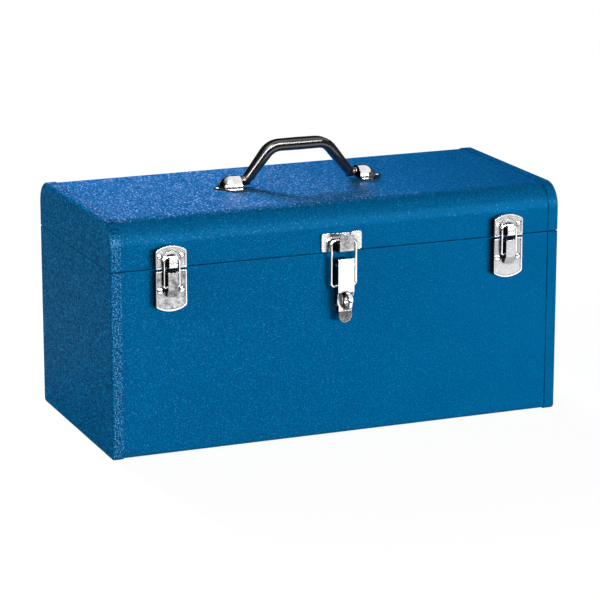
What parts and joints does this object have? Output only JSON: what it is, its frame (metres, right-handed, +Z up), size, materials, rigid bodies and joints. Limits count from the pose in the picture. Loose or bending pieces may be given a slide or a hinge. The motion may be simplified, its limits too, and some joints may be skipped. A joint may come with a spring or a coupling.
{
  "type": "portable tool box",
  "caption": "Portable steel tool box with a hinged lid, draw latches, a padlock hasp, a swinging carrying handle and a lift-out tray.",
  "frame": {"origin": "centre of the footprint, on the floor plane under the end-cap flanges", "axes": "+X along the box's width, -Y towards the front with the latches, +Z up"},
  "size_m": [0.511, 0.2712, 0.3003],
  "materials": {
    "blue_paint": "fine wrinkle, semi-gloss",
    "tray_paint": "semi-gloss",
    "zinc_plate": "zinc plated, satin",
    "bright_plate": "bright nickel plate",
    "soft_plate": "nickel plate, satin",
    "bright_wire": "bright nickel plate",
    "steel_pin": "plain steel",
    "rivet": "bright plated",
    "black_plastic": "satin moulded"
  },
  "bodies": {
    "base": {"base_wrap": "blue_paint", "base_end_left": "blue_paint", "base_end_right": "blue_paint", "tray_shelf_left": "zinc_plate", "tray_shelf_right": "zinc_plate", "hinge_leaf_base": "zinc_plate", "hinge_pin": "steel_pin", "hinge_rivets_base": "rivet", "latch_plate_left": "soft_plate", "latch_plate_right": "soft_plate", "latch_pin_left": "steel_pin", "latch_pin_right": "steel_pin", "base_rivets": "rivet", "hasp_plate": "bright_plate", "hasp_staple": "bright_plate", "hasp_pin": "steel_pin", "hasp_rivets": "rivet"},
    "lid": {"lid_wrap": "blue_paint", "lid_end_left": "blue_paint", "lid_end_right": "blue_paint", "hinge_leaf_lid": "zinc_plate", "hinge_rivets_lid": "rivet", "latch_catch_left": "bright_plate", "latch_catch_right": "bright_plate", "lid_rivets": "rivet", "hasp_catch": "bright_plate", "handle_loop_left": "bright_plate", "handle_loop_right": "bright_plate", "loop_rivets": "rivet"},
    "handle": {"handle_grip": "black_plastic", "handle_pin_left": "bright_plate", "handle_pin_right": "bright_plate"},
    "latch_lever_left": {"latch_lever_left": "soft_plate"},
    "latch_lever_right": {"latch_lever_right": "soft_plate"},
    "latch_bail_left": {"latch_bail_left": "bright_wire"},
    "latch_bail_right": {"latch_bail_right": "bright_wire"},
    "hasp_lever": {"hasp_lever": "bright_plate"},
    "hasp_bail": {"hasp_bail": "bright_wire"},
    "tray": {"tray_pan": "tray_paint", "tray_spine": "tray_paint", "tray_lugs": "zinc_plate", "tray_divider_front": "tray_paint", "tray_divider_rear": "tray_paint"},
    "tray_handle": {"tray_handle": "bright_wire"}
  },
  "joints": [
    {"name": "lid_hinge", "type": "hinge", "parent": "base", "child": "lid", "pos_m": [0, 0.1219, 0.2005], "axis": [-1, 0, 0], "range_deg": [0, 105]},
    {"name": "handle_swing", "type": "hinge", "parent": "lid", "child": "handle", "pos_m": [0, 0, 0.2578], "axis": [1, 0, 0], "range_deg": [-80, 80]},
    {"name": "latch_left_lever", "type": "hinge", "parent": "base", "child": "latch_lever_left", "pos_m": [-0.192, -0.1298, 0.197], "axis": [-1, 0, 0], "range_deg": [0, 100]},
    {"name": "latch_left_bail", "type": "hinge", "parent": "latch_lever_left", "child": "latch_bail_left", "pos_m": [-0.192, -0.1288, 0.1825], "axis": [-1, 0, 0], "range_deg": [-70, 0]},
    {"name": "latch_right_lever", "type": "hinge", "parent": "base", "child": "latch_lever_right", "pos_m": [0.192, -0.1298, 0.197], "axis": [-1, 0, 0], "range_deg": [0, 100]},
    {"name": "latch_right_bail", "type": "hinge", "parent": "latch_lever_right", "child": "latch_bail_right", "pos_m": [0.192, -0.1288, 0.1825], "axis": [-1, 0, 0], "range_deg": [-70, 0]},
    {"name": "hasp_lever_swing", "type": "hinge", "parent": "base", "child": "hasp_lever", "pos_m": [0, -0.1282, 0.1885], "axis": [-1, 0, 0], "range_deg": [0, 105]},
    {"name": "hasp_bail_swing", "type": "hinge", "parent": "hasp_lever", "child": "hasp_bail", "pos_m": [0, -0.1268, 0.1653], "axis": [-1, 0, 0], "range_deg": [-70.5, 0]},
    {"name": "tray_lift", "type": "slide", "parent": "base", "child": "tray", "axis": [0, 0, 1], "range_m": [0, 0.045]},
    {"name": "tray_handle_swing", "type": "hinge", "parent": "tray", "child": "tray_handle", "pos_m": [0, -0.00345, 0.1877], "axis": [-1, 0, 0], "range_deg": [0, 180]}
  ],
  "couplings": [
    {"joint": "latch_left_bail", "follows": "latch_left_lever", "ratio": -0.7},
    {"joint": "latch_right_bail", "follows": "latch_right_lever", "ratio": -0.7},
    {"joint": "hasp_bail_swing", "follows": "hasp_lever_swing", "ratio": -0.67}
  ]
}
